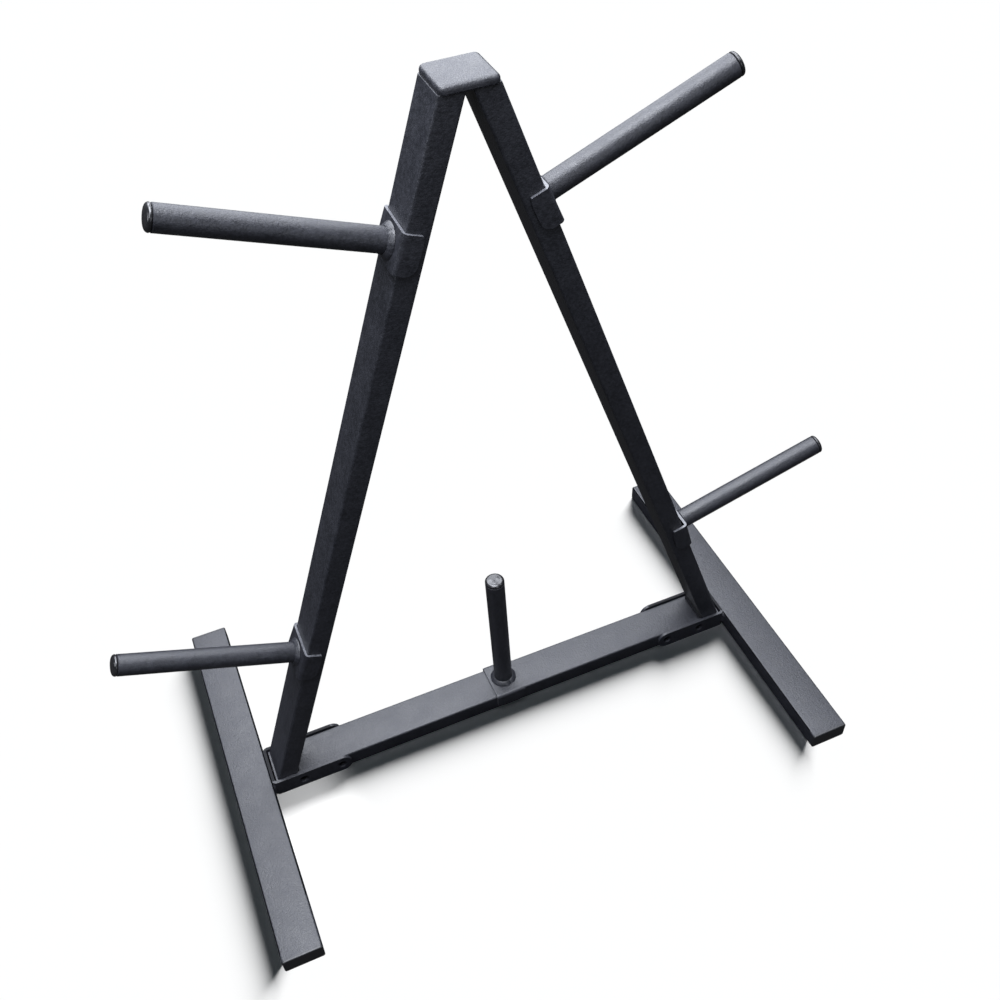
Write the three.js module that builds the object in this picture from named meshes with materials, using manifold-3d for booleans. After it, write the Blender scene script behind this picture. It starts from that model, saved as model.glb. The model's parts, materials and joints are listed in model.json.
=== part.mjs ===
// Plate tree: an A-frame of rectangular tube on an H-shaped base, with five storage pegs
// Millimetres, +Z up, origin on the floor under the middle of the frame
// X runs along the crossbeam, left to right, and Y runs from front to back
import * as THREE from "three";
import { mergeVertices } from "three/addons/utils/BufferGeometryUtils.js";
import Module from "manifold-3d";

const wasm = await Module();
wasm.setup();

// Driving dimensions
const frame = {
  height: 906, // floor to the top of the cap
  footSpacing: 734, // middle of one foot to the middle of the other
  footLength: 520, // over the plugs
  uprightGap: 4.6, // between the uprights, just under the cap
  uprightInset: 2, // from a crossbeam end to the upright's outer face
};
// One tube makes the feet, the crossbeam and the uprights
const tube = { wide: 50, narrow: 25, wall: 2, cornerRadius: 2.5, boreCornerRadius: 0.5 };
const clearance = 0.3; // round what fits inside, and between pieces that meet
const overrun = 5; // how far a cutting solid reaches past what it cuts

const bracket = {
  plate: 4,
  innerBend: 2,
  armLength: 108, // foot to the arm's free end
  height: 28,
  holeDiameter: 12,
  holePitch: 53,
};
const screw = { length: 8, recess: 3, chamfer: 0.8, socketAcrossFlats: 6, socketDepth: 4 };
const saddle = {
  plate: 3,
  innerBend: 1.5,
  height: 42, // along the tube that carries it
  flangeDepth: 19.5,
  shoulderDepth: 17.5, // flange depth at the top edge
  shoulderHeight: 9, // over which the flange deepens
  lowerRadius: 12,
};
const peg = { diameter: 25, wall: 2, reach: 215 }; // reach runs from the saddle to the tip
const pegCap = { length: 5, crown: 1, rimHeight: 1.5, rimRadius: 3.5, stemLength: 12, stemWall: 2 };
const footPlug = { flange: 3, rimRadius: 1.2, stemLength: 14, stemWall: 2 };
const topCap = { width: 56, depth: 54, thickness: 7, cornerRadius: 6, rimRadius: 4.5 };
const pegWeld = { leg: 5, crown: 1.2 };
const bracketWeld = { leg: 6, height: 20 };
const uprightWeld = { leg: 4, crown: 0.6 };
const capWeld = { leg: 1.6, length: 50 };

// Where the middle of each saddle sits: down from the top of an upright's outer face, up from its
// foot, or to the right of the crossbeam's middle. The base peg stands a little behind its saddle's
// middle. The pegs are welded by hand, so no two stand quite alike
const saddleSpot = {
  upperLeftDown: 144.2,
  lowerLeftUp: 228,
  upperRightDown: 134.4,
  lowerRightUp: 219.3,
  baseRight: 1.7,
  basePegBack: 2,
};
// How far each peg tips from square: up along its upright, or leftward on the crossbeam
const tilt = {
  upperLeftDegrees: 2.5,
  lowerLeftDegrees: 4.6,
  upperRightDegrees: 2.4,
  lowerRightDegrees: -3.6,
  baseDegrees: 0.7,
};

const roundSegments = 32; // round a peg
const smallRoundSegments = 20; // round a screw or a hole
const cornerSegments = 4; // round a quarter turn of a tube or a bend
const rimSegments = 3; // over a rounded rim
const domeShare = 0.75; // of a cap's crown, half way out from its middle

// Places that follow from the driving dimensions
const beamTop = tube.narrow;
const capUnderside = frame.height - topCap.thickness;
const footInnerSide = (frame.footSpacing - tube.wide) / 2;
const webInnerSide = footInnerSide - bracket.plate;
const beamEnd = webInnerSide - bracket.innerBend;
const uprightFoot = beamEnd - frame.uprightInset;
const lean = uprightLean();

// The upright's outer face starts near the crossbeam's end, and its inner face ends beside the gap
function uprightLean() {
  const run = uprightFoot - frame.uprightGap / 2;
  const rise = capUnderside - beamTop;
  return Math.acos(tube.narrow / Math.hypot(run, rise)) - Math.atan2(rise, run);
}

// An upright's outer face runs from the crossbeam's top to the cap's underside
const upperMiddle = (down) => (capUnderside - beamTop) / Math.cos(lean) - down;
const pegPlaces = {
  left: [
    { name: "upper_left", along: upperMiddle(saddleSpot.upperLeftDown), tip: tilt.upperLeftDegrees },
    { name: "lower_left", along: saddleSpot.lowerLeftUp, tip: tilt.lowerLeftDegrees },
  ],
  right: [
    { name: "upper_right", along: upperMiddle(saddleSpot.upperRightDown), tip: tilt.upperRightDegrees },
    { name: "lower_right", along: saddleSpot.lowerRightUp, tip: tilt.lowerRightDegrees },
  ],
  base: [{
    name: "base",
    along: -saddleSpot.baseRight,
    tip: tilt.baseDegrees,
    across: saddleSpot.basePegBack,
  }],
};

const materials = {
  coat: new THREE.MeshStandardMaterial({ color: 0x2a2b30, roughness: 0.45, metalness: 0 }),
  weld: new THREE.MeshStandardMaterial({ color: 0x37383d, roughness: 0.4, metalness: 0 }),
  plastic: new THREE.MeshStandardMaterial({ color: 0x121214, roughness: 0.25, metalness: 0 }),
  oxide: new THREE.MeshStandardMaterial({ color: 0x0e0e10, roughness: 0.5, metalness: 0.6 }),
};

// Solids, for cutting and joining
function toSolid(geometry) {
  const bare = geometry.clone();
  bare.deleteAttribute("normal");
  bare.deleteAttribute("uv");
  const merged = mergeVertices(bare);
  return new wasm.Manifold(new wasm.Mesh({
    numProp: 3,
    vertProperties: new Float32Array(merged.attributes.position.array),
    triVerts: new Uint32Array(merged.index.array),
  }));
}

function toGeometry(solid) {
  const mesh = solid.getMesh();
  const geometry = new THREE.BufferGeometry();
  geometry.setAttribute("position", new THREE.BufferAttribute(mesh.vertProperties, 3));
  geometry.setIndex(new THREE.BufferAttribute(mesh.triVerts, 1));
  geometry.computeVertexNormals();
  return geometry;
}

const without = (solid, tool) => solid.subtract(toSolid(tool));
const cut = (body, ...tools) => toGeometry(tools.reduce(without, toSolid(body)));
const join = (first, second) => toGeometry(toSolid(first).add(toSolid(second)));
const overlap = (first, second) => toGeometry(toSolid(first).intersect(toSolid(second)));

// Outlines
function roundedRectangle(width, height, radius, Outline = THREE.Shape) {
  const x = width / 2;
  const y = height / 2;
  const outline = new Outline();
  outline.moveTo(radius - x, -y);
  outline.absarc(x - radius, radius - y, radius, -Math.PI / 2, 0, false);
  outline.absarc(x - radius, y - radius, radius, 0, Math.PI / 2, false);
  outline.absarc(radius - x, y - radius, radius, Math.PI / 2, Math.PI, false);
  outline.absarc(radius - x, radius - y, radius, Math.PI, 1.5 * Math.PI, false);
  outline.closePath();
  return outline;
}

// A hollow section, extruded along Z from the floor of its own frame
function sectionTube(width, height, wall, radius, length) {
  const outline = roundedRectangle(width, height, radius);
  const bore = roundedRectangle(width - 2 * wall, height - 2 * wall, tube.boreCornerRadius, THREE.Path);
  outline.holes.push(bore);
  return extrude(outline, length);
}

function extrude(outline, length) {
  return new THREE.ExtrudeGeometry(outline, {
    depth: length,
    bevelEnabled: false,
    steps: 1,
    curveSegments: cornerSegments,
  });
}

// A block whose upper rim is rounded, standing on Z = 0
function crownedBlock(width, depth, height, cornerRadius, rimRadius) {
  const both = new THREE.ExtrudeGeometry(roundedRectangle(width, depth, cornerRadius), {
    depth: 2 * (height - rimRadius),
    steps: 1,
    curveSegments: cornerSegments,
    bevelEnabled: true,
    bevelSegments: rimSegments,
    bevelThickness: rimRadius,
    bevelSize: rimRadius,
    bevelOffset: -rimRadius,
  });
  both.translate(0, 0, rimRadius - height);
  const keep = new THREE.BoxGeometry(width + overrun, depth + overrun, height + overrun);
  keep.translate(0, 0, (height + overrun) / 2);
  return overlap(both, keep);
}

// A U of bent plate seen from above: the web's inner face on X = 0, arms reaching to -X
function bentPlate(inside, reach, plate, innerBend, height) {
  const half = inside / 2;
  const outer = innerBend + plate;
  const outline = new THREE.Shape();
  outline.moveTo(-reach, -half - plate);
  outline.lineTo(-innerBend, -half - plate);
  outline.absarc(-innerBend, innerBend - half, outer, -Math.PI / 2, 0, false);
  outline.absarc(-innerBend, half - innerBend, outer, 0, Math.PI / 2, false);
  outline.lineTo(-reach, half + plate);
  outline.lineTo(-reach, half);
  outline.absarc(-innerBend, half - innerBend, innerBend, Math.PI / 2, 0, true);
  outline.absarc(-innerBend, innerBend - half, innerBend, 0, -Math.PI / 2, true);
  outline.lineTo(-reach, -half);
  outline.closePath();
  return extrude(outline, height);
}

// A side outline in X and Z, extruded along Y through everything between two sides
function sideCutter(outline, width) {
  const geometry = extrude(outline, width + 2 * overrun);
  geometry.rotateX(Math.PI / 2);
  geometry.translate(0, width / 2 + overrun, 0);
  return geometry;
}

function roundTool(diameter, length, segments = smallRoundSegments) {
  return new THREE.CylinderGeometry(diameter / 2, diameter / 2, length, segments);
}

function turned(profile, segments = roundSegments) {
  const points = profile.map(([radius, along]) => new THREE.Vector2(radius, along));
  return new THREE.LatheGeometry(points, segments);
}

// Scene graph
const group = new THREE.Group();

function place(parent, name, geometry, material, position = [0, 0, 0], rotation = [0, 0, 0]) {
  const mesh = new THREE.Mesh(geometry, material);
  mesh.name = name;
  mesh.position.set(...position);
  mesh.rotation.set(...rotation);
  parent.add(mesh);
  return mesh;
}

// Feet
function footTube() {
  const length = frame.footLength - 2 * footPlug.flange;
  const geometry = sectionTube(tube.wide, tube.narrow, tube.wall, tube.cornerRadius, length);
  geometry.translate(0, 0, -length / 2);
  geometry.rotateX(Math.PI / 2);
  geometry.translate(0, 0, tube.narrow / 2);
  return geometry;
}

// A plug in its own frame: the flange's inner face on Z = 0 and the hollow stem below it
function plugGeometry() {
  const flange = crownedBlock(
    tube.wide, tube.narrow, footPlug.flange, tube.cornerRadius, footPlug.rimRadius,
  );
  const fit = 2 * (tube.wall + clearance);
  const embed = footPlug.flange / 2;
  const radius = footPlug.stemWall / 2;
  const stem = sectionTube(
    tube.wide - fit, tube.narrow - fit, footPlug.stemWall, radius, footPlug.stemLength + embed,
  );
  stem.translate(0, 0, -footPlug.stemLength);
  return join(flange, stem);
}

function addFoot(side, parent) {
  const foot = new THREE.Group();
  foot.position.x = frame.footSpacing / 2;
  parent.add(foot);
  place(foot, `${side}_foot_tube`, footTube(), materials.coat);
  const plug = plugGeometry();
  const end = frame.footLength / 2 - footPlug.flange;
  // The left half of the tree is the right half turned round, so its front is at +Y
  const front = side === "left" ? 1 : -1;
  for (const [name, toward] of [["front", front], ["back", -front]]) {
    place(
      foot, `${side}_foot_${name}_plug`, plug, materials.plastic,
      [0, toward * end, tube.narrow / 2], [-toward * Math.PI / 2, 0, 0],
    );
  }
}

// Base bracket: web against the foot, arms round the crossbeam
const holeNear = footInnerSide - bracket.armLength + bracket.height / 2;
const holeCentres = [holeNear, holeNear + bracket.holePitch];
const holeHeight = bracket.height / 2;
const armInside = tube.wide + 2 * clearance;
const armOutside = armInside + 2 * bracket.plate;

function holeTool(x) {
  const tool = roundTool(bracket.holeDiameter, armOutside + 2 * overrun);
  tool.translate(x, 0, holeHeight);
  return tool;
}

function bracketGeometry() {
  const reach = bracket.armLength - bracket.plate;
  const bent = bentPlate(armInside, reach, bracket.plate, bracket.innerBend, bracket.height);
  bent.translate(webInnerSide, 0, 0);
  const radius = bracket.height / 2;
  const outline = new THREE.Shape();
  outline.moveTo(footInnerSide + overrun, 0);
  outline.lineTo(footInnerSide + overrun, bracket.height);
  outline.absarc(holeNear, radius, radius, Math.PI / 2, 1.5 * Math.PI, false);
  outline.closePath();
  const rounded = overlap(bent, sideCutter(outline, armOutside));
  return cut(rounded, ...holeCentres.map(holeTool));
}

// A socket set screw in its own frame: its outer end on Y = 0, its body toward -Y
function screwGeometry() {
  const radius = bracket.holeDiameter / 2 - clearance;
  const body = turned([
    [0, -screw.length],
    [radius - screw.chamfer, -screw.length],
    [radius, screw.chamfer - screw.length],
    [radius, -screw.chamfer],
    [radius - screw.chamfer, 0],
    [0, 0],
  ], smallRoundSegments);
  const corner = screw.socketAcrossFlats / Math.sqrt(3);
  const socket = new THREE.CylinderGeometry(corner, corner, screw.socketDepth + overrun, 6);
  socket.translate(0, (overrun - screw.socketDepth) / 2, 0);
  return cut(body, socket);
}

function addBracket(side, parent) {
  place(parent, `${side}_base_bracket`, bracketGeometry(), materials.coat);
  const screwBody = screwGeometry();
  const weldBead = bracketWeldGeometry();
  const outerEnd = armOutside / 2 - screw.recess;
  const front = side === "left" ? 1 : -1;
  for (const [arm, toward] of [["front", front], ["back", -front]]) {
    for (const [index, x] of holeCentres.entries()) {
      place(
        parent, `${side}_${arm}_set_screw_${index + 1}`, screwBody, materials.oxide,
        [x, toward * outerEnd, holeHeight], [0, 0, toward > 0 ? 0 : Math.PI],
      );
    }
    place(
      parent, `${side}_bracket_${arm}_weld`, weldBead, materials.weld,
      [0, 0, bracket.height / 2], [toward > 0 ? 0 : Math.PI, 0, 0],
    );
  }
}

// The bead that fills the groove between a bend of the bracket and the foot's side, at half height
function bracketWeldGeometry() {
  const bend = bracket.innerBend + bracket.plate;
  const bendCentre = [webInnerSide - bracket.innerBend, armOutside / 2 - bend];
  const face = footInnerSide - clearance;
  const outline = new THREE.Shape();
  outline.moveTo(face, bendCentre[1]);
  outline.lineTo(face, bendCentre[1] + bend);
  outline.lineTo(face - bracketWeld.leg / 2, bendCentre[1] + bend - clearance);
  outline.lineTo(face - bracketWeld.leg, bendCentre[1]);
  outline.closePath();
  const bead = extrude(outline, bracketWeld.height);
  bead.translate(0, 0, -bracketWeld.height / 2);
  const tool = roundTool(2 * (bend + clearance), bracketWeld.height + 2 * overrun, 2 * roundSegments);
  tool.rotateX(Math.PI / 2);
  tool.translate(...bendCentre, 0);
  return cut(bead, tool);
}

// Crossbeam
function crossbeamGeometry() {
  const beam = sectionTube(tube.narrow, tube.wide, tube.wall, tube.cornerRadius, 2 * beamEnd);
  beam.translate(0, 0, -beamEnd);
  beam.rotateY(Math.PI / 2);
  beam.translate(0, 0, tube.narrow / 2);
  return cut(beam, ...holeCentres.flatMap((x) => [holeTool(x), holeTool(-x)]));
}

// Upright, in its own frame: outer face on X = 0, up the tube along Z, both ends cut level
function uprightGeometry() {
  const rise = capUnderside - beamTop - 2 * clearance;
  const upright = sectionTube(tube.narrow, tube.wide, tube.wall, tube.cornerRadius, rise / Math.cos(lean));
  upright.translate(-tube.narrow / 2, 0, clearance / Math.cos(lean));
  const shear = new THREE.Matrix4();
  shear.elements[2] = -Math.tan(lean);
  upright.applyMatrix4(shear);
  return upright;
}

// The bead between the upright's inner face and the crossbeam's top
function uprightWeldGeometry() {
  const low = beamTop + clearance;
  const corner = uprightFoot - (tube.narrow + 2 * clearance) / Math.cos(lean);
  const outline = new THREE.Shape();
  outline.moveTo(corner, low);
  outline.lineTo(corner - uprightWeld.leg, low);
  outline.lineTo(corner - (uprightWeld.leg + uprightWeld.crown) / 2, low + uprightWeld.leg / 2);
  outline.lineTo(corner - uprightWeld.leg * Math.sin(lean), low + uprightWeld.leg * Math.cos(lean));
  outline.closePath();
  return sideBar(outline, tube.wide - 2 * tube.cornerRadius);
}

// An outline in X and Z made into a bar along Y, centred
function sideBar(outline, length) {
  const bar = extrude(outline, length);
  bar.rotateX(Math.PI / 2);
  bar.translate(0, length / 2, 0);
  return bar;
}

// Saddle, in its own frame: web's inner face on X = 0, centred on Z = 0
function saddleGeometry() {
  const inside = tube.wide + 2 * clearance;
  const bent = bentPlate(inside, saddle.flangeDepth, saddle.plate, saddle.innerBend, saddle.height);
  bent.translate(0, 0, -saddle.height / 2);
  const top = saddle.height / 2;
  const outline = new THREE.Shape();
  outline.moveTo(saddle.plate + overrun, -top);
  outline.lineTo(saddle.plate + overrun, top);
  outline.lineTo(-saddle.shoulderDepth, top);
  outline.lineTo(-saddle.flangeDepth, top - saddle.shoulderHeight);
  outline.absarc(
    saddle.lowerRadius - saddle.flangeDepth, saddle.lowerRadius - top,
    saddle.lowerRadius, Math.PI, 1.5 * Math.PI, false,
  );
  outline.closePath();
  return overlap(bent, sideCutter(outline, inside + 2 * saddle.plate));
}

// Peg, cap and weld, turned about Y. Y starts at the saddle's outer face
const capSeat = peg.reach - pegCap.length - pegCap.crown;

function pegGeometry() {
  const radius = peg.diameter / 2;
  const bore = radius - peg.wall;
  return turned([
    [bore, clearance],
    [radius, clearance],
    [radius, capSeat - clearance],
    [bore, capSeat - clearance],
    [bore, clearance],
  ]);
}

function pegCapGeometry() {
  const radius = peg.diameter / 2;
  const stem = radius - peg.wall - clearance;
  const bore = stem - pegCap.stemWall;
  const inner = radius - pegCap.rimRadius;
  const rimRise = pegCap.length - pegCap.rimHeight;
  const rim = Array.from({ length: rimSegments }, (_, step) => {
    const angle = ((step + 1) / rimSegments) * (Math.PI / 2);
    const out = inner + pegCap.rimRadius * Math.cos(angle);
    return [out, capSeat + pegCap.rimHeight + rimRise * Math.sin(angle)];
  });
  return turned([
    [0, capSeat + pegCap.rimHeight],
    [bore, capSeat + pegCap.rimHeight],
    [bore, capSeat - pegCap.stemLength],
    [stem, capSeat - pegCap.stemLength],
    [stem, capSeat],
    [radius, capSeat],
    [radius, capSeat + pegCap.rimHeight],
    ...rim,
    [inner / 2, capSeat + pegCap.length + pegCap.crown * domeShare],
    [0, peg.reach],
  ]);
}

function pegWeldGeometry() {
  const inner = peg.diameter / 2 + clearance;
  const low = clearance;
  const middle = (pegWeld.leg + pegWeld.crown) / 2;
  return turned([
    [inner, low],
    [inner + pegWeld.leg, low],
    [inner + middle, low + middle],
    [inner, low + pegWeld.leg],
    [inner, low],
  ]);
}

const saddleBody = saddleGeometry();
const pegBody = pegGeometry();
const capBody = pegCapGeometry();
const weldBody = pegWeldGeometry();

// A saddle with its peg, on a tube whose outer face is X = 0. It tips about the saddle's near end
function addPeg(parent, { name, along, tip, across = 0 }) {
  const angle = THREE.MathUtils.degToRad(tip);
  const carrier = new THREE.Group();
  carrier.position.set(clearance + (saddle.height / 2) * Math.abs(Math.sin(angle)), 0, along);
  carrier.rotation.y = -angle;
  parent.add(carrier);
  place(carrier, `${name}_peg_saddle`, saddleBody, materials.coat);
  const onFace = [saddle.plate, across, 0];
  const alongX = [0, 0, -Math.PI / 2];
  place(carrier, `${name}_peg`, pegBody, materials.coat, onFace, alongX);
  place(carrier, `${name}_peg_cap`, capBody, materials.plastic, onFace, alongX);
  place(carrier, `${name}_peg_weld`, weldBody, materials.weld, onFace, alongX);
}

function addUpright(side, parent) {
  const upright = new THREE.Group();
  upright.position.set(uprightFoot, 0, beamTop);
  upright.rotation.y = -lean;
  parent.add(upright);
  place(upright, `${side}_upright`, uprightGeometry(), materials.coat);
  place(parent, `${side}_upright_weld`, uprightWeldGeometry(), materials.weld);
  for (const pegPlace of pegPlaces[side]) addPeg(upright, pegPlace);
}

function addCrossbeam() {
  place(group, "crossbeam", crossbeamGeometry(), materials.coat);
  const top = new THREE.Group();
  top.position.z = beamTop;
  top.rotation.y = -Math.PI / 2;
  group.add(top);
  for (const pegPlace of pegPlaces.base) addPeg(top, pegPlace);
}

// Top cap and the beads under its front and back edges
function addTopCap() {
  const cap = crownedBlock(
    topCap.width, topCap.depth, topCap.thickness, topCap.cornerRadius, topCap.rimRadius,
  );
  place(group, "top_cap", cap, materials.coat, [0, 0, capUnderside]);
  const face = tube.wide / 2 + clearance;
  const under = capUnderside - clearance;
  const outline = new THREE.Shape();
  outline.moveTo(face, under);
  outline.lineTo(face, under - capWeld.leg);
  outline.lineTo(face + capWeld.leg, under);
  outline.closePath();
  const bead = extrude(outline, capWeld.length);
  bead.translate(0, 0, -capWeld.length / 2);
  // The outline's first direction is Y and its second is Z, so the bead runs along X
  bead.applyMatrix4(new THREE.Matrix4().makeBasis(
    new THREE.Vector3(0, 1, 0), new THREE.Vector3(0, 0, 1), new THREE.Vector3(1, 0, 0),
  ));
  place(group, "top_cap_back_weld", bead, materials.weld);
  place(group, "top_cap_front_weld", bead, materials.weld, [0, 0, 0], [0, 0, Math.PI]);
}

// The right half is built as it stands; the left half is the same turned half round
for (const side of ["left", "right"]) {
  const half = new THREE.Group();
  half.rotation.z = side === "left" ? Math.PI : 0;
  group.add(half);
  addFoot(side, half);
  addBracket(side, half);
  addUpright(side, half);
}
addCrossbeam();
addTopCap();

export default group;
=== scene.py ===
# Plate tree in satin black powder coat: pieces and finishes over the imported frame
import json
import math

import bmesh
import bpy
from mathutils import Matrix, Vector, noise

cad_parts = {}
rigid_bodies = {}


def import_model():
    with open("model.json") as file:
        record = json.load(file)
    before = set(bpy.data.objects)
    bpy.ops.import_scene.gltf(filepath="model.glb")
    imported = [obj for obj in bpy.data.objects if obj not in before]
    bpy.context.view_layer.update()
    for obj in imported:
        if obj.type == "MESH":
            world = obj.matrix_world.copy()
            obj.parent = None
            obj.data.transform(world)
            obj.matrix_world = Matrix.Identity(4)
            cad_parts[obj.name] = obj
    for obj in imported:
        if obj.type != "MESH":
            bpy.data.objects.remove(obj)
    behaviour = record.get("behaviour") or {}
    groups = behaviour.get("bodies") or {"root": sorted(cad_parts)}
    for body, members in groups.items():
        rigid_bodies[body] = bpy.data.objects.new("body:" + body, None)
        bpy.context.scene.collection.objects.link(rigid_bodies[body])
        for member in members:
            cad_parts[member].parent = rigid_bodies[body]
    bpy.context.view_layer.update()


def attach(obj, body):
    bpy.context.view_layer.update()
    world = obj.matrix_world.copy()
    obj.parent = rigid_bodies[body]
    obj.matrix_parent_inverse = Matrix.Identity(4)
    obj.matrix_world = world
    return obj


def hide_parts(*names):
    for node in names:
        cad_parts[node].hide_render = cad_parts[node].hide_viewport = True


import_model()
scene = bpy.context.scene
mm = 0.001
gap = 0.3 * mm  # left between pieces that touch
overrun = 5 * mm  # how far a cutting shape goes past what it cuts
nearly = 0.01 * mm
same = 0.002 * mm  # vertices closer than this are one
print("frame loaded")


# camera, from the photo
view = {
    "place": (-0.2958994, -0.8313915, 1.3009579),
    "target": (0.1419035, 0.3487010, 0.0),
    "roll": 0.0624299,  # radians, anticlockwise
    "focal": 1.0821574,  # in frame widths
}


def aimCamera():
    data = bpy.data.cameras.new("photoCamera")
    data.sensor_width = 36
    data.lens = view["focal"] * data.sensor_width
    data.clip_start = 0.01
    place = Vector(view["place"])
    forward = (Vector(view["target"]) - place).normalized()
    right = forward.cross(Vector((0, 0, 1))).normalized()
    up = right.cross(forward)
    c, s = math.cos(view["roll"]), math.sin(view["roll"])
    x = c * right - s * up
    y = s * right + c * up
    camera = bpy.data.objects.new("photoCamera", data)
    camera.matrix_world = Matrix.Translation(place) @ Matrix((x, y, -forward)).transposed().to_4x4()
    scene.collection.objects.link(camera)
    scene.camera = camera


aimCamera()
scene.view_settings.view_transform = "Standard"


# shader maths
class Wire:
    # wraps an output socket, so that shader maths reads as Python

    def __init__(self, finish, socket):
        self.finish = finish
        self.socket = socket

    def maths(self, operation, other):
        return self.finish.node("ShaderNodeMath", {"operation": operation}, {0: self, 1: other})

    def __add__(self, other):
        return self.maths("ADD", other)

    def __rmul__(self, factor):
        return self.maths("MULTIPLY", factor)

    def clamped(self):
        return self.finish.node("ShaderNodeClamp", {}, {"Value": self})


class Finish:
    # the nodes of one material, or of the world

    def __init__(self, owner):
        owner.use_nodes = True
        self.owner = owner
        self.tree = owner.node_tree
        self.tree.nodes.clear()

    def node(self, kind, settings, sockets, out=0):
        made = self.tree.nodes.new(kind)
        for key, value in settings.items():
            setattr(made, key, value)
        for key, value in sockets.items():
            if isinstance(value, Wire):
                self.tree.links.new(value.socket, made.inputs[key])
            else:
                made.inputs[key].default_value = value
        return Wire(self, made.outputs[out])

    def place(self):
        return self.node("ShaderNodeTexCoord", {}, {}, "Object")

    def noise(self, where, size, detail=2, roughness=0.5):
        # size is the grain of the pattern in metres
        return self.node("ShaderNodeTexNoise", {}, {
            "Vector": where, "Scale": 1 / size, "Detail": detail, "Roughness": roughness,
        }, "Fac")

    def ramp(self, wire, low, high, fromValue=0.0, toValue=1.0):
        return self.node("ShaderNodeMapRange", {}, {
            "Value": wire, "From Min": low, "From Max": high, "To Min": fromValue, "To Max": toValue,
        })

    def mix(self, share, first, second):
        # colours sit on the Mix node's second pair of sockets
        return self.node("ShaderNodeMix", {"data_type": "RGBA"}, {0: share, 6: first, 7: second}, 2)

    def bump(self, height, strength, depth):
        return self.node("ShaderNodeBump", {}, {"Height": height, "Strength": strength, "Distance": depth})

    def output(self, kind, shader):
        end = self.tree.nodes.new(kind)
        self.tree.links.new(shader.socket, end.inputs["Surface"])

    def surface(self, **sockets):
        named = {key.replace("_", " "): value for key, value in sockets.items()}
        self.output("ShaderNodeOutputMaterial", self.node("ShaderNodeBsdfPrincipled", {}, named))
        return self.owner

    def dressed(self, look, tone, sheen, relief):
        # the surface that a look gives, with a pattern each for its colour, its roughness and its bump
        colour = self.mix(self.ramp(tone, *look["toneSpan"]), look["base"], look["pale"])
        roughness = self.ramp(sheen, *look["sheenSpan"], *look["roughness"])
        normal = self.bump(relief, look["bump"], look["depth"])
        return self.surface(Base_Color=colour, Roughness=roughness, Normal=normal, **look["plain"])


# finishes
powderCoat = {
    "base": (0.0100, 0.0107, 0.0140, 1),
    "pale": (0.0225, 0.0235, 0.0305, 1),
    "toneSpan": (0.42, 0.58),
    "roughness": (0.38, 0.52),
    "sheenSpan": (0.36, 0.64),
    "plain": {"Specular_IOR_Level": 0.6},
    "peel": 1.7 * mm,  # size of the orange peel's dimples
    "speck": 0.35 * mm,
    "mottle": 4.2 * mm,
    "cloud": 22 * mm,
    "ripple": 2.6 * mm,
    "peelHeight": 5,  # against the specks'
    "mottleHeight": 4.8,
    "bump": 0.5,
    "depth": 0.12 * mm,
}


def makePowderCoat(name, rippleHeight=0.0):
    look = powderCoat
    finish = Finish(bpy.data.materials.new(name))
    where = finish.place()
    peel = finish.noise(where, look["peel"], 2, 0.5)
    speck = finish.noise(where, look["speck"], 1, 0.5)
    mottle = finish.noise(where, look["mottle"], 2, 0.6)
    cloud = finish.noise(where, look["cloud"], 3, 0.55)
    tone = 0.3 * speck + 0.2 * peel + 0.35 * mottle + 0.15 * cloud
    relief = look["peelHeight"] * peel + speck + look["mottleHeight"] * mottle
    if rippleHeight:
        relief = relief + rippleHeight * finish.noise(where, look["ripple"], 3, 0.6)
    return finish.dressed(look, tone, 0.5 * cloud + 0.5 * mottle, relief)


glossPlastic = {
    "base": (0.007, 0.007, 0.008, 1),
    "pale": (0.02, 0.02, 0.022, 1),
    "toneSpan": (0.35, 0.7),
    "roughness": (0.2, 0.26),
    "sheenSpan": (0.4, 0.8),
    "plain": {"Specular_IOR_Level": 0.7},
    "grain": 0.8 * mm,
    "smear": 9 * mm,
    "bump": 0.15,
    "depth": 0.01 * mm,
}


def makeGlossPlastic():
    look = glossPlastic
    finish = Finish(bpy.data.materials.new("capPlastic"))
    where = finish.place()
    smear = finish.noise(where, look["smear"], 3, 0.6)
    grain = finish.noise(where, look["grain"], 2, 0.5)
    return finish.dressed(look, smear, smear + 0.2 * grain, grain)


satinPlastic = {
    "base": (0.014, 0.014, 0.016, 1),
    "pale": (0.03, 0.031, 0.034, 1),
    "toneSpan": (0.4, 0.7),
    "roughness": (0.34, 0.46),
    "sheenSpan": (0.3, 0.7),
    "plain": {},
    "grain": 0.4 * mm,
    "cloud": 9 * mm,
    "bump": 0.4,
    "depth": 0.04 * mm,
}


def makeSatinPlastic():
    look = satinPlastic
    finish = Finish(bpy.data.materials.new("plugPlastic"))
    where = finish.place()
    grain = finish.noise(where, look["grain"], 2, 0.6)
    cloud = finish.noise(where, look["cloud"], 2, 0.5)
    return finish.dressed(look, grain, cloud, grain)


blackOxide = {
    "base": (0.006, 0.006, 0.007, 1),
    "pale": (0.03, 0.03, 0.034, 1),
    "toneSpan": (0.35, 0.75),
    "roughness": (0.3, 0.45),
    "sheenSpan": (0.3, 0.7),
    "plain": {"Metallic": 0.75},
    "grain": 0.7 * mm,
    "bump": 0.3,
    "depth": 0.03 * mm,
}
# painted highlight: a much lighter coat on the saddles' upward-facing rims, standing in for the light those
# rims catch
cutEdge = {
    "base": (0.05, 0.052, 0.059, 1),
    "pale": (0.13, 0.132, 0.145, 1),
    "toneSpan": (0.3, 0.62),
    "roughness": (0.34, 0.44),
    "sheenSpan": (0.35, 0.65),
    "plain": {"Specular_IOR_Level": 0.8},
    "grain": 2.2 * mm,
    "bump": 0.4,
    "depth": 0.08 * mm,
}
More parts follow.
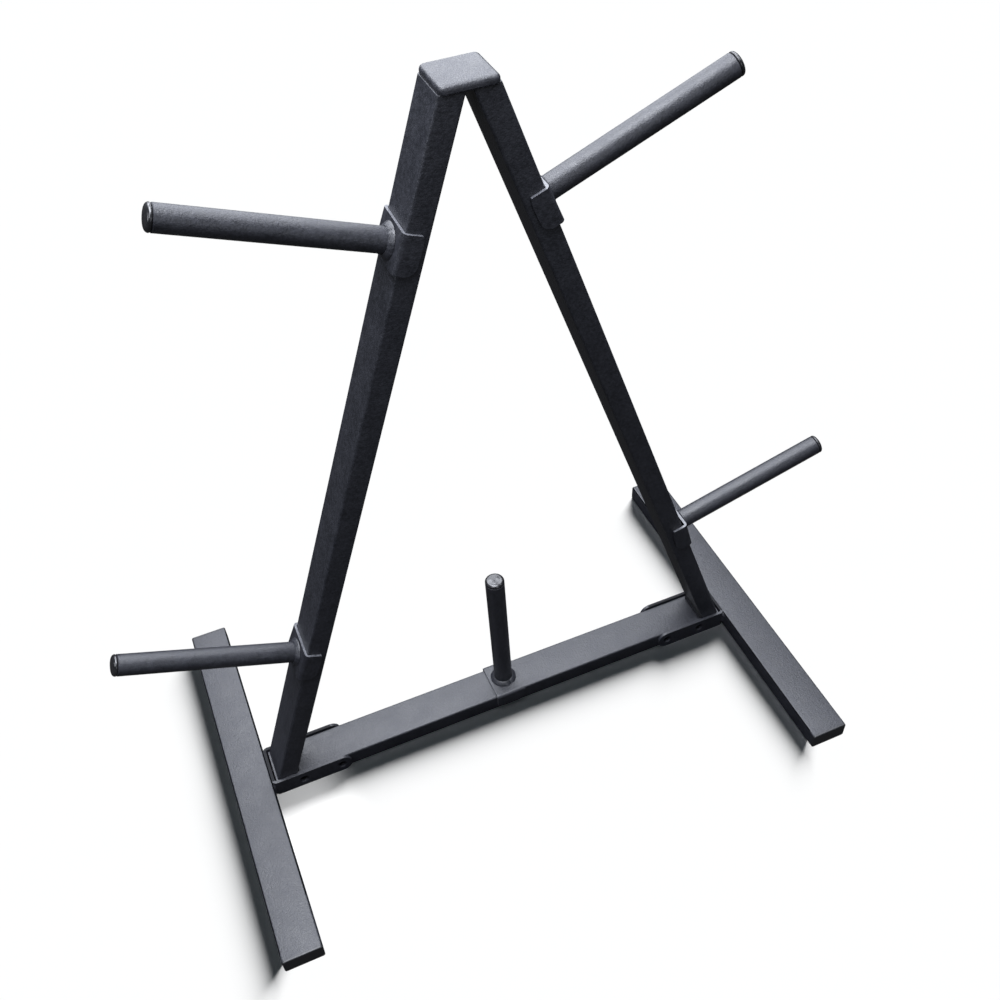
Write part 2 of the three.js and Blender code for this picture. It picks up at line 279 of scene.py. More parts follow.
# painted shade: a near-black, duller coat on the brackets' rims behind the front arms and on the uprights'
# foot welds, where shade falls round the uprights' feet
paintedShade = {
    "base": (0.004, 0.0042, 0.0052, 1),
    "pale": (0.012, 0.0125, 0.015, 1),
    "toneSpan": (0.35, 0.7),
    "roughness": (0.55, 0.7),
    "sheenSpan": (0.35, 0.65),
    "plain": {"Specular_IOR_Level": 0.2},
    "grain": 1.6 * mm,
    "bump": 0.3,
    "depth": 0.08 * mm,
}


def makeGrained(name, look):
    # a finish whose colour, roughness and bump all follow one grain
    finish = Finish(bpy.data.materials.new(name))
    grain = finish.noise(finish.place(), look["grain"], 3, 0.6)
    return finish.dressed(look, grain, grain, grain)


coat = makePowderCoat("powderCoat")
rimHighlightCoat = makeGrained("cutEdge", cutEdge)
shadyCoat = makeGrained("shadyCoat", paintedShade)
weldCoat = makePowderCoat("weldCoat", rippleHeight=1.0)
capPlastic = makeGlossPlastic()
plugPlastic = makeSatinPlastic()
screwOxide = makeGrained("blackOxide", blackOxide)
print("finishes made")


# making pieces
def objectFrom(bm, name):
    mesh = bpy.data.meshes.new(name)
    bm.to_mesh(mesh)
    bm.free()
    made = bpy.data.objects.new(name, mesh)
    scene.collection.objects.link(made)
    return made


def finishPiece(
    name, bm, material, nodes, bevel=0.0, sharp=32, rimUp=None, rimPaintedTone=None, rimFrom=-math.inf,
):
    bmesh.ops.remove_doubles(bm, verts=bm.verts, dist=same)
    bmesh.ops.recalc_face_normals(bm, faces=bm.faces)
    for face in bm.faces:
        # a plate's upper rim has a finish of its own: a painted highlight on a saddle, painted shade on a
        # bracket, there only behind its front arm
        onRim = rimUp and face.normal.dot(rimUp) > 0.99 and face.calc_center_median().y > rimFrom
        face.material_index = 1 if onRim else 0
    piece = objectFrom(bm, name)
    mesh = piece.data
    mesh.materials.append(material)
    if rimUp:
        mesh.materials.append(rimPaintedTone)
    mesh.shade_smooth()
    mesh.set_sharp_from_angle(angle=math.radians(sharp))
    if bevel:
        edge = piece.modifiers.new("edge", "BEVEL")
        edge.width = bevel
        edge.segments = 3
        edge.limit_method = "ANGLE"
        edge.angle_limit = math.radians(sharp)
        edge.harden_normals = True
    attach(piece, "root")
    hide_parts(*nodes)


def solidFrom(bm):
    bmesh.ops.recalc_face_normals(bm, faces=bm.faces)
    return objectFrom(bm, "temporary")


def carve(bm, operation, *tools):
    # cuts or keeps part of a mesh with Boolean modifiers, and gives the mesh back
    body = solidFrom(bm)
    cutters = [solidFrom(tool) for tool in tools]
    for cutter in cutters:
        step = body.modifiers.new("cut", "BOOLEAN")
        step.operation = operation
        step.solver = "EXACT"
        step.object = cutter
    bpy.context.view_layer.update()
    evaluated = body.evaluated_get(bpy.context.evaluated_depsgraph_get())
    result = bmesh.new()
    result.from_mesh(evaluated.to_mesh())
    for used in (body, *cutters):
        data = used.data
        bpy.data.objects.remove(used)
        bpy.data.meshes.remove(data)
    return result


def block(size, centre=(0, 0, 0)):
    bm = bmesh.new()
    bmesh.ops.create_cube(bm, size=1)
    bmesh.ops.scale(bm, verts=bm.verts, vec=size)
    bmesh.ops.translate(bm, verts=bm.verts, vec=centre)
    return bm


def rod(radius, length, sides):
    # a solid round or many-sided rod along Y, centred
    bm = bmesh.new()
    bmesh.ops.create_cone(bm, cap_ends=True, segments=sides, radius1=radius, radius2=radius, depth=length)
    bmesh.ops.rotate(bm, verts=bm.verts, matrix=Matrix.Rotation(math.pi / 2, 3, "X"))
    return bm


def edgesAlong(bm, axis):
    found = []
    for edge in bm.edges:
        direction = (edge.verts[1].co - edge.verts[0].co).normalized()
        if abs(direction[axis]) > 0.999:
            found.append(edge)
    return found


def roundEdges(bm, edges, radius, segments=6):
    bmesh.ops.bevel(
        bm, geom=edges, offset=radius, segments=segments, profile=0.5, affect="EDGES", material=-1,
        clamp_overlap=True,
    )


def roundCorners(bm, corners, radius, segments):
    bmesh.ops.bevel(
        bm, geom=corners, offset=radius, segments=segments, profile=0.5, affect="VERTICES", material=-1,
    )


def shiftMade(bm, made, step):
    # moves what an extrusion made
    moved = [item for item in made["geom"] if isinstance(item, bmesh.types.BMVert)]
    bmesh.ops.translate(bm, verts=moved, vec=step)


def outlinePrism(points, rounded, width):
    # an outline in X and Z, some corners rounded, made a prism along Y and centred
    bm = bmesh.new()
    corners = [bm.verts.new((x, 0, z)) for x, z in points]
    bm.faces.new(corners)
    for index, radius in rounded.items():
        roundCorners(bm, [corners[index]], radius, 12)
    shiftMade(bm, bmesh.ops.extrude_face_region(bm, geom=bm.faces[:]), (0, width, 0))
    bmesh.ops.translate(bm, verts=bm.verts, vec=(0, -width / 2, 0))
    return bm


def bentPlate(inside, deep, plate, innerBend, height):
    # a U of plate seen from above: web's inner face on X = 0, arms to -X, standing on Z = 0
    bm = bmesh.new()
    half = inside / 2
    path = [bm.verts.new(co) for co in ((-deep, -half, 0), (0, -half, 0), (0, half, 0), (-deep, half, 0))]
    for first, second in zip(path, path[1:]):
        bm.edges.new((first, second))
    roundCorners(bm, path[1:3], innerBend, 8)
    shiftMade(bm, bmesh.ops.extrude_edge_only(bm, edges=bm.edges[:]), (0, 0, height))
    bmesh.ops.recalc_face_normals(bm, faces=bm.faces)
    webMiddle = Vector((0, 0, height / 2))
    web = min(bm.faces, key=lambda face: (face.calc_center_median() - webMiddle).length)
    if web.normal.x < 0:
        bmesh.ops.reverse_faces(bm, faces=bm.faces)
    bmesh.ops.solidify(bm, geom=bm.faces[:], thickness=-plate)
    return bm


# the frame's shared sizes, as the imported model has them
tube = {"wide": 50 * mm, "narrow": 25 * mm, "wall": 2 * mm, "corner": 2.5 * mm}


def rectTube(wide, narrow, length, corner=tube["corner"]):
    # a hollow tube along Z from Z = 0, wide along Y and narrow along X
    bm = block((narrow, wide, length), (0, 0, length / 2))
    bmesh.ops.delete(bm, geom=[f for f in bm.faces if abs(f.normal.z) > 0.9], context="FACES")
    roundEdges(bm, edgesAlong(bm, 2), corner)
    bmesh.ops.recalc_face_normals(bm, faces=bm.faces)
    if max(bm.faces, key=lambda face: face.calc_center_median().x).normal.x < 0:
        bmesh.ops.reverse_faces(bm, faces=bm.faces)
    bmesh.ops.solidify(bm, geom=bm.faces[:], thickness=tube["wall"])
    return bm


def roundedSlab(wide, deep, thick, corner, rim):
    # a slab standing on Z = 0, its upright corners and its top rim rounded
    bm = block((wide, deep, thick), (0, 0, thick / 2))
    roundEdges(bm, edgesAlong(bm, 2), corner, 8)
    top = [f for f in bm.faces if f.normal.z > 0.9][0]
    roundEdges(bm, top.edges[:], rim)
    return bm


# feet
foot = {
    "spacing": 734 * mm,
    "length": 520 * mm,  # over the plugs
    "plug": 3 * mm,
    "plugCorner": 3 * mm,
    "plugRim": 1.4 * mm,
    "stem": 14 * mm,
    "stemCorner": 2.4 * mm,
    "edge": 0.3 * mm,
}


def makeFoot(side, x):
    tubeLength = foot["length"] - 2 * foot["plug"]
    bm = rectTube(tube["narrow"], tube["wide"], tubeLength)
    bmesh.ops.rotate(bm, verts=bm.verts, matrix=Matrix.Rotation(-math.pi / 2, 3, "X"))
    bmesh.ops.translate(bm, verts=bm.verts, vec=(x, -tubeLength / 2, tube["narrow"] / 2))
    finishPiece(f"{side}FootTube", bm, coat, [f"{side}_foot_tube"], bevel=foot["edge"])
    for end, turn in (("front", 1), ("back", -1)):
        bm = roundedSlab(tube["wide"], tube["narrow"], foot["plug"], foot["plugCorner"], foot["plugRim"])
        play = 2 * tube["wall"] + 2 * gap
        stemLength = foot["stem"] + foot["plug"] / 2
        stem = rectTube(tube["narrow"] - play, tube["wide"] - play, stemLength, foot["stemCorner"])
        bmesh.ops.translate(stem, verts=stem.verts, vec=(0, 0, -foot["stem"]))
        bm = carve(bm, "UNION", stem)
        bmesh.ops.transform(bm, verts=bm.verts, matrix=(
            Matrix.Translation((x, -turn * tubeLength / 2, tube["narrow"] / 2))
            @ Matrix.Rotation(turn * math.pi / 2, 4, "X")
        ))
        name = f"{side}Foot{end.capitalize()}Plug"
        finishPiece(name, bm, plugPlastic, [f"{side}_foot_{end}_plug"], sharp=40)


for side, sign in (("left", -1), ("right", 1)):
    makeFoot(side, sign * foot["spacing"] / 2)
print("feet made")


# base brackets and their screws
bracket = {
    "plate": 4 * mm,
    "innerBend": 2 * mm,
    "armLength": 108 * mm,
    "height": 28 * mm,
    "hole": 12 * mm,
    "holeSides": 64,
    "pitch": 53 * mm,
    "edge": 0.45 * mm,
    "rimSplit": 1 * mm,
}
screw = {
    "length": 8 * mm,
    "recess": 3 * mm,
    "chamfer": 0.8 * mm,
    "acrossFlats": 6 * mm,
    "socketDepth": 4 * mm,
    "edge": 0.15 * mm,
    "turnByIndex": 0.4,  # radians, since no two are driven home alike
    "turnByArm": 0.7,
}
footInside = (foot["spacing"] - tube["wide"]) / 2
webInside = footInside - bracket["plate"]
beamEnd = webInside - bracket["innerBend"]
armInside = tube["wide"] + 2 * gap
armOutside = armInside + 2 * bracket["plate"]
holeNear = footInside - bracket["armLength"] + bracket["height"] / 2
holes = (holeNear, holeNear + bracket["pitch"])


def turnFor(side):
    return Matrix.Rotation(math.pi if side == "left" else 0, 4, "Z")


def makeDrills(places, length):
    drills = []
    for x in places:
        drill = rod(bracket["hole"] / 2, length, bracket["holeSides"])
        bmesh.ops.translate(drill, verts=drill.verts, vec=(x, 0, bracket["height"] / 2))
        drills.append(drill)
    return drills


def makeBracket(side):
    plate, tall = bracket["plate"], bracket["height"]
    bm = bentPlate(armInside, bracket["armLength"] - plate, plate, bracket["innerBend"], tall)
    bmesh.ops.translate(bm, verts=bm.verts, vec=(webInside, 0, 0))
    beyond = footInside + overrun
    end = footInside - bracket["armLength"]
    endRadius = tall / 2 - nearly
    through = armOutside + 2 * overrun
    outline = outlinePrism(
        [(beyond, 0), (beyond, tall), (end, tall), (end, 0)], {2: endRadius, 3: endRadius}, through,
    )
    bm = carve(bm, "INTERSECT", outline)
    bm = carve(bm, "DIFFERENCE", *makeDrills(holes, through))
    bmesh.ops.transform(bm, verts=bm.verts, matrix=turnFor(side))
    # splits the rim just behind the front arm; behind it the rim gets painted shade
    split = bracket["rimSplit"] - armInside / 2
    everything = bm.verts[:] + bm.edges[:] + bm.faces[:]
    bmesh.ops.bisect_plane(bm, geom=everything, plane_co=(0, split, 0), plane_no=(0, 1, 0), dist=0.001 * mm)
    finishPiece(
        f"{side}BaseBracket", bm, coat, [f"{side}_base_bracket"], bevel=bracket["edge"],
        rimUp=Vector((0, 0, 1)), rimPaintedTone=shadyCoat, rimFrom=split,
    )


def makeScrew(side, arm, index, x, toward):
    bm = rod(bracket["hole"] / 2 - gap, screw["length"], bracket["holeSides"])
    rims = [e for e in bm.edges if abs(e.verts[0].co.y - e.verts[1].co.y) < nearly]
    roundEdges(bm, rims, screw["chamfer"], 1)
    bmesh.ops.translate(bm, verts=bm.verts, vec=(0, -screw["length"] / 2, 0))
    socket = rod(screw["acrossFlats"] / math.sqrt(3), 2 * screw["socketDepth"], 6)
    bm = carve(bm, "DIFFERENCE", socket)
    outer = armOutside / 2 - screw["recess"]
    bmesh.ops.transform(bm, verts=bm.verts, matrix=(
        turnFor(side)
        @ Matrix.Translation((x, toward * outer, bracket["height"] / 2))
        @ Matrix.Rotation(0 if toward > 0 else math.pi, 4, "Z")
        @ Matrix.Rotation(screw["turnByIndex"] * index + screw["turnByArm"] * toward, 4, "Y")
    ))
    finishPiece(
        f"{side}{arm.capitalize()}SetScrew{index + 1}", bm, screwOxide,
        [f"{side}_{arm}_set_screw_{index + 1}"], bevel=screw["edge"],
    )


def armsOf(side):
    # before it is turned into place, the left side's front arm lies at +Y
    front = 1 if side == "left" else -1
    return ("front", front), ("back", -front)


for side in ("left", "right"):
    makeBracket(side)
    for arm, toward in armsOf(side):
        for index, x in enumerate(holes):
            makeScrew(side, arm, index, x, toward)
print("brackets and screws made")


# crossbeam, uprights and top cap
tree = {
    "height": 906 * mm,
    "uprightGap": 4.6 * mm,
    "uprightInset": 2 * mm,
    "capWide": 56 * mm,
    "capDeep": 54 * mm,
    "capThick": 7 * mm,
    "capCorner": 6 * mm,
    "capRim": 4.5 * mm,
    "capEdge": 0.3 * mm,
    "edge": 0.2 * mm,
}
capUnder = tree["height"] - tree["capThick"]
rise = capUnder - tube["narrow"]
uprightFoot = beamEnd - tree["uprightInset"]
run = uprightFoot - tree["uprightGap"] / 2
lean = math.acos(tube["narrow"] / math.hypot(run, rise)) - math.atan2(rise, run)


def makeCrossbeam():
    bm = rectTube(tube["wide"], tube["narrow"], 2 * beamEnd)
    bmesh.ops.rotate(bm, verts=bm.verts, matrix=Matrix.Rotation(math.pi / 2, 3, "Y"))
    bmesh.ops.translate(bm, verts=bm.verts, vec=(-beamEnd, 0, tube["narrow"] / 2))
    drills = makeDrills((*holes, *(-x for x in holes)), armOutside)
    bm = carve(bm, "DIFFERENCE", *drills)
    finishPiece("crossbeamTube", bm, coat, ["crossbeam"], bevel=tree["edge"])


def cutLevel(bm, z, keepAbove):
    # cuts a leaning tube level and closes the wall's cut end
    bmesh.ops.bisect_plane(
        bm, geom=bm.verts[:] + bm.edges[:] + bm.faces[:], plane_co=(0, 0, z), plane_no=(0, 0, 1),
        clear_outer=not keepAbove, clear_inner=keepAbove,
    )
    rim = [e for e in bm.edges if e.is_boundary]
    bmesh.ops.bridge_loops(bm, edges=rim)


def makeUpright(side):
    long = rise / math.cos(lean)
    spare = tube["narrow"]
    bm = rectTube(tube["wide"], tube["narrow"], long + 2 * spare)
    bmesh.ops.transform(bm, verts=bm.verts, matrix=(
        Matrix.Translation((uprightFoot, 0, tube["narrow"]))
        @ Matrix.Rotation(-lean, 4, "Y")
        @ Matrix.Translation((-tube["narrow"] / 2, 0, -spare))
    ))
    cutLevel(bm, tube["narrow"] + gap, True)
    cutLevel(bm, capUnder - gap, False)
    bmesh.ops.transform(bm, verts=bm.verts, matrix=turnFor(side))
    finishPiece(f"{side}UprightTube", bm, coat, [f"{side}_upright"], bevel=tree["edge"])


def makeTopCap():
    bm = roundedSlab(tree["capWide"], tree["capDeep"], tree["capThick"], tree["capCorner"], tree["capRim"])
    bmesh.ops.translate(bm, verts=bm.verts, vec=(0, 0, capUnder))
    finishPiece("topCapPlate", bm, coat, ["top_cap"], bevel=tree["capEdge"], sharp=50)


makeCrossbeam()
makeUpright("left")
makeUpright("right")
makeTopCap()
print("crossbeam, uprights and top cap made")


# saddles, pegs and their caps
saddle = {
    "plate": 3 * mm,
    "innerBend": 1.5 * mm,
    "height": 42 * mm,
    "flange": 19.5 * mm,
    "shoulderDepth": 17.5 * mm,
    "shoulderHeight": 9 * mm,
    "upperRadius": 0.8 * mm,
    "shoulderRadius": 5 * mm,
    "lowerRadius": 12 * mm,
    "edge": 0.5 * mm,
    "eased": 1.5 * mm,
}
peg = {
    "radius": 12.5 * mm,
    "wall": 2 * mm,
    "reach": 215 * mm,
    "cap": 5 * mm,
    "crown": 1 * mm,
    "rimHeight": 1.5 * mm,
    "rimRadius": 5 * mm,
    "lip": 1.2 * mm,  # rounds the head's back edge, so a dark groove shows beside the tube's end
    "lipShare": 0.3,  # where the middle of that round lies
    "stem": 12 * mm,
    "stemWall": 2 * mm,
    "chamfer": 0.7 * mm,  # of the tube's end
}
pegWeld = {
    "leg": 5 * mm,
    "hollow": 0.2,
    "laps": 13,
    "lapDepth": 0.05 * mm,
    "sway": 0.5 * mm,
    "swayPace": 2.2,
    "lapSway": 3,  # how far the sway shifts a lap round the ring, in radians
    "lapSlant": 2,  # how far a lap leans over the bead's height, in radians
    "steps": 160,  # round the ring
    "arcSteps": 9,
    "stopDepth": 0.8 * mm,
    "stopWidth": 1.5 * mm,
    "stillShare": 0.4,  # the part of the leg by the corner that stays smooth
}
capSeat = peg["reach"] - peg["cap"] - peg["crown"]


def spun(profile, steps=72):
    # a closed profile of (radius, along) spun round X
    bm = bmesh.new()
    points = [bm.verts.new((along, 0, radius)) for radius, along in profile]
    loop = [bm.edges.new((first, second)) for first, second in zip(points, points[1:])]
    if profile[0][0] > 0 and profile[-1][0] > 0:
        loop.append(bm.edges.new((points[-1], points[0])))
    bmesh.ops.spin(
        bm, geom=points + loop, cent=(0, 0, 0), axis=(1, 0, 0), angle=2 * math.pi, steps=steps,
        use_merge=True,
    )
    bmesh.ops.remove_doubles(bm, verts=bm.verts, dist=same)
    return bm


def pegTube():
    outer, bore, chamfer = peg["radius"], peg["radius"] - peg["wall"], peg["chamfer"]
    end = capSeat - gap
    return spun([(bore, gap), (outer, gap), (outer, end - chamfer), (outer - chamfer, end), (bore, end)])


def pegCap():
    outer = peg["radius"]
    stem = outer - peg["wall"] - gap
    bore = stem - peg["stemWall"]
    inner = outer - peg["rimRadius"]
    shoulder = capSeat + peg["rimHeight"]
    lip = peg["lip"]
    eased = peg["lipShare"] * lip
    end = capSeat - peg["stem"]
    profile = [
        (0, shoulder), (bore, shoulder), (bore, end), (stem, end), (stem, capSeat), (outer - lip, capSeat),
        (outer - eased, capSeat + eased), (outer, capSeat + lip), (outer, shoulder),
    ]
    drop = peg["cap"] - peg["rimHeight"]
    rimSteps, crownSteps = 8, 6
    for step in range(1, rimSteps + 1):
        angle = step / rimSteps * math.pi / 2
        profile.append((inner + peg["rimRadius"] * math.cos(angle), shoulder + drop * math.sin(angle)))
    for step in range(1, crownSteps + 1):
        out = 1 - step / crownSteps
        profile.append((inner * out, shoulder + drop + peg["crown"] * (1 - out * out)))
    return spun(profile)


def pegBead(share, stop, seed):
    # a smooth hand-laid bead: a quarter-round ring with soft laps and a small crater where it stops
    inner = peg["radius"] + gap
    leg = pegWeld["leg"] * share
    arc = []
    for step in range(pegWeld["arcSteps"] + 1):
        angle = step / pegWeld["arcSteps"] * math.pi / 2
        swell = 1 - pegWeld["hollow"] * math.sin(2 * angle)
        arc.append((inner + leg * math.cos(angle) * swell, gap + leg * math.sin(angle) * swell))
    bm = spun([(inner, gap), *arc], pegWeld["steps"])
    pace = pegWeld["swayPace"]
    for vert in bm.verts:
        radius = math.hypot(vert.co.y, vert.co.z)
        out = (radius - inner) + (vert.co.x - gap)
        if out < pegWeld["stillShare"] * leg:
            continue
        turn = math.atan2(vert.co.z, vert.co.y)
        sway = noise.noise(Vector((math.cos(turn) * pace + seed, math.sin(turn) * pace, seed * 0.7)))
        slant = pegWeld["lapSlant"] * vert.co.x / leg
        lap = math.cos(pegWeld["laps"] * turn + pegWeld["lapSway"] * sway + slant)
        off = math.remainder(turn - math.radians(stop), 2 * math.pi) * radius
        crater = math.exp(-(off / pegWeld["stopWidth"]) ** 2)
        push = pegWeld["lapDepth"] * lap + pegWeld["sway"] * sway - pegWeld["stopDepth"] * crater
        away = Vector((1, vert.co.y / radius, vert.co.z / radius)).normalized()
        vert.co += away * push
        vert.co.x = max(vert.co.x, gap)
    return bm


def saddlePlate():
    bm = bentPlate(armInside, saddle["flange"], saddle["plate"], saddle["innerBend"], saddle["height"])
    bmesh.ops.translate(bm, verts=bm.verts, vec=(0, 0, -saddle["height"] / 2))
    top = saddle["height"] / 2
    beyond = saddle["plate"] + overrun
    outline = outlinePrism(
        [
            (beyond, -top), (beyond, top), (-saddle["shoulderDepth"], top),
            (-saddle["flange"], top - saddle["shoulderHeight"]), (-saddle["flange"], -top),
        ],
        {2: saddle["upperRadius"], 3: saddle["shoulderRadius"], 4: saddle["lowerRadius"]},
        armInside + 6 * overrun,
    )
    bm = carve(bm, "INTERSECT", outline)

    def inside(vert):
        return abs(vert.co.y) < armInside / 2 + nearly and vert.co.x < nearly and vert.co.z < top - nearly

    # inside, the flanges' free and lower edges are eased, so a dark line runs round them
    eased = [e for e in bm.edges if all(map(inside, e.verts)) and e.is_manifold and e.calc_face_angle() > 1]
    roundEdges(bm, eased, saddle["eased"], 2)
    return bm


outerFace = rise / math.cos(lean)
pegPlaces = {
    # side, way along the outer face, way across, tip in degrees, share of the full weld, where the weld stops
    "upper_left": ("left", outerFace - 144.2 * mm, 0, 2.5, 1.0, 62),
    "lower_left": ("left", 228 * mm, 0, 4.6, 0.9, -35),
    "upper_right": ("right", outerFace - 134.4 * mm, 0, 2.4, 0.62, 205),
    "lower_right": ("right", 219.3 * mm, 0, -3.6, 0.62, 240),
    "base": ("base", -1.7 * mm, 2 * mm, 0.7, 1.0, 200),
}


def pegSeat(side, along, tip):
    # the saddle's own frame: the peg points along +X, and the saddle tips about its near end
    if side == "base":
        carrier = Matrix.Translation((0, 0, tube["narrow"])) @ Matrix.Rotation(-math.pi / 2, 4, "Y")
    else:
        start = Matrix.Translation((uprightFoot, 0, tube["narrow"]))
        carrier = turnFor(side) @ start @ Matrix.Rotation(-lean, 4, "Y")
    standOff = gap + saddle["height"] / 2 * abs(math.sin(tip))
    return carrier @ Matrix.Translation((standOff, 0, along)) @ Matrix.Rotation(-tip, 4, "Y")


def camel(words):
    first, *rest = words.split("_")
    return first + "".join(word.capitalize() for word in rest)


for number, (name, (side, along, across, tip, share, stop)) in enumerate(pegPlaces.items()):
    seat = pegSeat(side, along, math.radians(tip))
    onFace = seat @ Matrix.Translation((saddle["plate"], across, 0))
    made = (
        ("PegSaddle", saddlePlate(), coat, "powder_coat", "_peg_saddle", seat, saddle["edge"], 32),
        ("Peg", pegTube(), coat, "powder_coat", "_peg", onFace, 0, 40),
        ("PegCap", pegCap(), capPlastic, "peg_cap", "_peg_cap", onFace, 0, 50),
        ("PegWeld", pegBead(share, stop, number + 1.3), weldCoat, "weld", "_peg_weld", onFace, 0, 75),
    )
    for label, bm, material, slotName, node, place, bevel, sharp in made:
        bmesh.ops.transform(bm, verts=bm.verts, matrix=place)
        up = (place.to_3x3() @ Vector((0, 0, 1))).normalized()
        # a saddle's upward-facing rim gets the painted highlight
        finishPiece(
            camel(name) + label, bm, material, [name + node], bevel=bevel, sharp=sharp,
            rimUp=up if label == "PegSaddle" else None, rimPaintedTone=rimHighlightCoat,
        )
print("saddles, pegs and caps made")


# straight weld beads
bead = {
    "pitch": 4.5 * mm,
    "depth": 0.15 * mm,
    "wander": 0.4 * mm,
    "hollow": 0.16,
    "step": 0.5 * mm,
    "taper": 1.2,  # length of the tapered ends in legs
    "tipShare": 0.05,  # of the full height, at the very ends
    "least": 0.2,  # the least height along the corner's sides
    "sides": 7,  # of the section's quarter round
    "slant": 1.5,  # how far a ripple leans over the section, in radians
    "roughPace": 300,  # along the bead, a metre
    "roughAcross": 1.5,
    "seedStep": 7,
}


def straightBead(start, end, across, up, legs, seed):
    # a bead from start to end lying in a corner whose sides run along across and up
    start, end = Vector(start), Vector(end)
    length = (end - start).length
    bm = bmesh.new()
    corner = [bm.verts.new((0, 0, 0))]
    for step in range(bead["sides"] + 1):
        angle = step / bead["sides"] * math.pi / 2
        corner.append(bm.verts.new((0, math.cos(angle), math.sin(angle))))
    face = bm.faces.new(corner)
    shiftMade(bm, bmesh.ops.extrude_face_region(bm, geom=[face]), (1, 0, 0))
    steps = max(8, int(length / bead["step"]))
    bmesh.ops.subdivide_edges(bm, edges=edgesAlong(bm, 0), cuts=steps, use_grid_fill=True)
    runUnit, acrossUnit, upUnit = (Vector(way).normalized() for way in (end - start, across, up))
    for vert in bm.verts:
        share, y, z = vert.co
        far = share * length
        taper = min(1, (min(far, length - far) / (bead["taper"] * legs[0])) ** 0.5 + bead["tipShare"])
        ripple = math.cos(far / bead["pitch"] * 2 * math.pi + bead["slant"] * y + seed)
        along = far * bead["roughPace"] + seed * bead["seedStep"]
        rough = noise.noise(Vector((along, y * bead["roughAcross"], z * bead["roughAcross"])))
        puff = (bead["depth"] * ripple + bead["wander"] * rough) / legs[0]
        swell = 1 - bead["hollow"] * math.sin(2 * math.atan2(z, y)) if y or z else 0
        scale = (swell + puff) * taper if y or z else 0
        if min(y, z) < 0.001:
            scale = max(scale, bead["least"])
        vert.co = start + runUnit * far + acrossUnit * legs[0] * y * scale + upUnit * legs[1] * z * scale
    return bm


bracketWeld = {"leg": 5.4 * mm, "height": 20 * mm, "flatShare": 0.55, "bendShare": 0.42}
uprightWeld = {"leg": 3.4 * mm}
capWeld = {"leg": 1.6 * mm, "length": 50 * mm}


def makeWeld(name, node, material, turn, *shape):
    bm = straightBead(*shape)
    bmesh.ops.transform(bm, verts=bm.verts, matrix=turn)
    finishPiece(name, bm, material, [node], sharp=75)


def makeStraightWelds():
    number = 0
    low = (bracket["height"] - bracketWeld["height"]) / 2
    high = low + bracketWeld["height"]
    face = footInside - gap
    legs = (bracketWeld["leg"] * bracketWeld["flatShare"], bracketWeld["leg"])
    bend = bracket["innerBend"] + bracket["plate"]
    corner = uprightFoot - (tube["narrow"] + 2 * gap) / math.cos(lean)
    seat = tube["narrow"] + gap
    half = tube["wide"] / 2 - tube["corner"]
    slope = (-math.sin(lean), 0, math.cos(lean))
    for side in ("left", "right"):
        turn = turnFor(side)
        for arm, toward in armsOf(side):
            level = toward * (armOutside / 2 - bend * bracketWeld["bendShare"])
            makeWeld(
                f"{side}Bracket{arm.capitalize()}Weld", f"{side}_bracket_{arm}_weld", weldCoat, turn,
                (face, level, low), (face, level, high), (-1, 0, 0), (0, toward, 0), legs, number,
            )
            number += 1
        # the uprights' foot welds take the painted shade coat
        makeWeld(
            f"{side}UprightWeld", f"{side}_upright_weld", shadyCoat, turn,
            (corner, -half, seat), (corner, half, seat), (-1, 0, 0), slope,
            (uprightWeld["leg"], uprightWeld["leg"]), number,
        )
        number += 1
    half = capWeld["length"] / 2
    level = capUnder - gap
    legs = (capWeld["leg"], capWeld["leg"])
    for label, toward in (("front", -1), ("back", 1)):
        y = toward * (tube["wide"] / 2 + gap)
        makeWeld(
            f"topCap{label.capitalize()}Weld", f"top_cap_{label}_weld", weldCoat, Matrix(),
            (-half, y, level), (half, y, level), (0, toward, 0), (0, 0, -1), legs, number,
        )
        number += 1


makeStraightWelds()
print("straight welds made")


# floor and light
studio = {
    "floor": 9.0,  # metres across
    "drop": 0.2 * mm,  # the floor lies this far below the feet
    "floorColour": (0.86, 0.86, 0.86, 1),
    "bounce": (0.022, 0.022, 0.023, 1),  # what the floor sends back on the object
    "glossShare": 0.02,  # how much of the pale floor the coat's gloss shows
    "world": (0.034, 0.041, 0.045),
}
# soft boxes all round, dim and a little cool; each looks at a point just above the base
boxes = {"distance": 2.4, "aim": (0, 0, 0.3), "tint": (0.965, 1.0, 1.085)}
panels = {
    # azimuth from +Y towards +X, elevation, width and height in metres, radiance
    "overheadBox": (-90, 84, 1.5, 1.2, 14.5),
    "frontTopBox": (180, 72, 1.1, 1.1, 2.9),
    "frontBox": (175, 25, 1.1, 1.1, 2.1),
    "backBox": (3, 42, 1.9, 1.2, 4.2),
    "backLowBox": (18, 22, 1.1, 0.9, 2.3),
    "backRightBox": (48, 54, 1.1, 1.1, 6.8),
    "backLeftBox": (-22, 57, 1.1, 1.1, 6.5),
    "leftBox": (-90, 30, 0.9, 0.9, 3.1),
    "frontLeftBox": (-128, 50, 0.9, 0.9, 5.5),
    "rightBox": (97, 57, 1.1, 1.1, 3.8),
}
# a wide soft light from behind on the right reaches the floor alone, and only the base shades it
floorLight = {
    "azimuth": 39.5,
    "elevation": 29.0,
    "width": 31,
    "strength": 7.3,
    "distance": 3,
    "shadedBy": ("FootShade", "BaseBracket", "crossbeam"),
}
# a block inside each foot casts the foot's shadow: cut along the light, it casts none before the foot's end
footShade = {"inset": 0.3 * mm, "short": 11 * mm}
# a small spot keeps the floor by the left bracket's corner white
cornerSpot = {
    "cone": 27,
    "power": 5,
    "soft": 20 * mm,
    "target": 26 * mm,  # from the foot's side, and from the front arm
    "ahead": 280 * mm,
    "aside": 110 * mm,
    "height": 150 * mm,
}


def towards(azimuth, elevation):
    turn, lift = math.radians(azimuth), math.radians(elevation)
    return Vector((math.sin(turn) * math.cos(lift), math.cos(turn) * math.cos(lift), math.sin(lift)))


